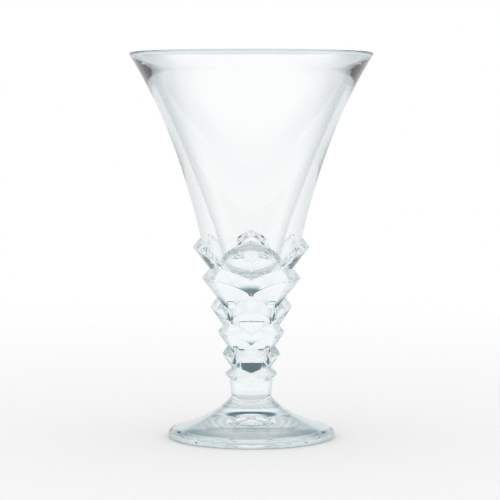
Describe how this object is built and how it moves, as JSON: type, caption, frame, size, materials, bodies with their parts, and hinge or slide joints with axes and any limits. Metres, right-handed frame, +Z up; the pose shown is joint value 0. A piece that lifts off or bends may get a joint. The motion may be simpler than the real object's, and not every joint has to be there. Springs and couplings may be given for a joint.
{
  "type": "dessert coupe",
  "caption": "Tall footed dessert coupe in clear pressed glass: flared round bowl in a leaf calyx, tapering stem of leaf knops, plain neck and round foot.",
  "frame": {"origin": "centre of the foot's resting ring, on the surface that the coupe stands on", "axes": "+Z up along the stem's axis, -Y towards the front, where a broad calyx leaf faces"},
  "size_m": [0.115, 0.115, 0.1818],
  "materials": {
    "clear_glass": "fire-polished clear pressed glass"
  },
  "bodies": {
    "root": {"foot": "clear_glass", "stem_neck": "clear_glass", "leaf_knop_1": "clear_glass", "leaf_knop_2": "clear_glass", "leaf_knop_3": "clear_glass", "leaf_knop_4": "clear_glass", "leaf_knop_5": "clear_glass", "leaf_calyx": "clear_glass", "bowl": "clear_glass"}
  },
  "joints": []
}
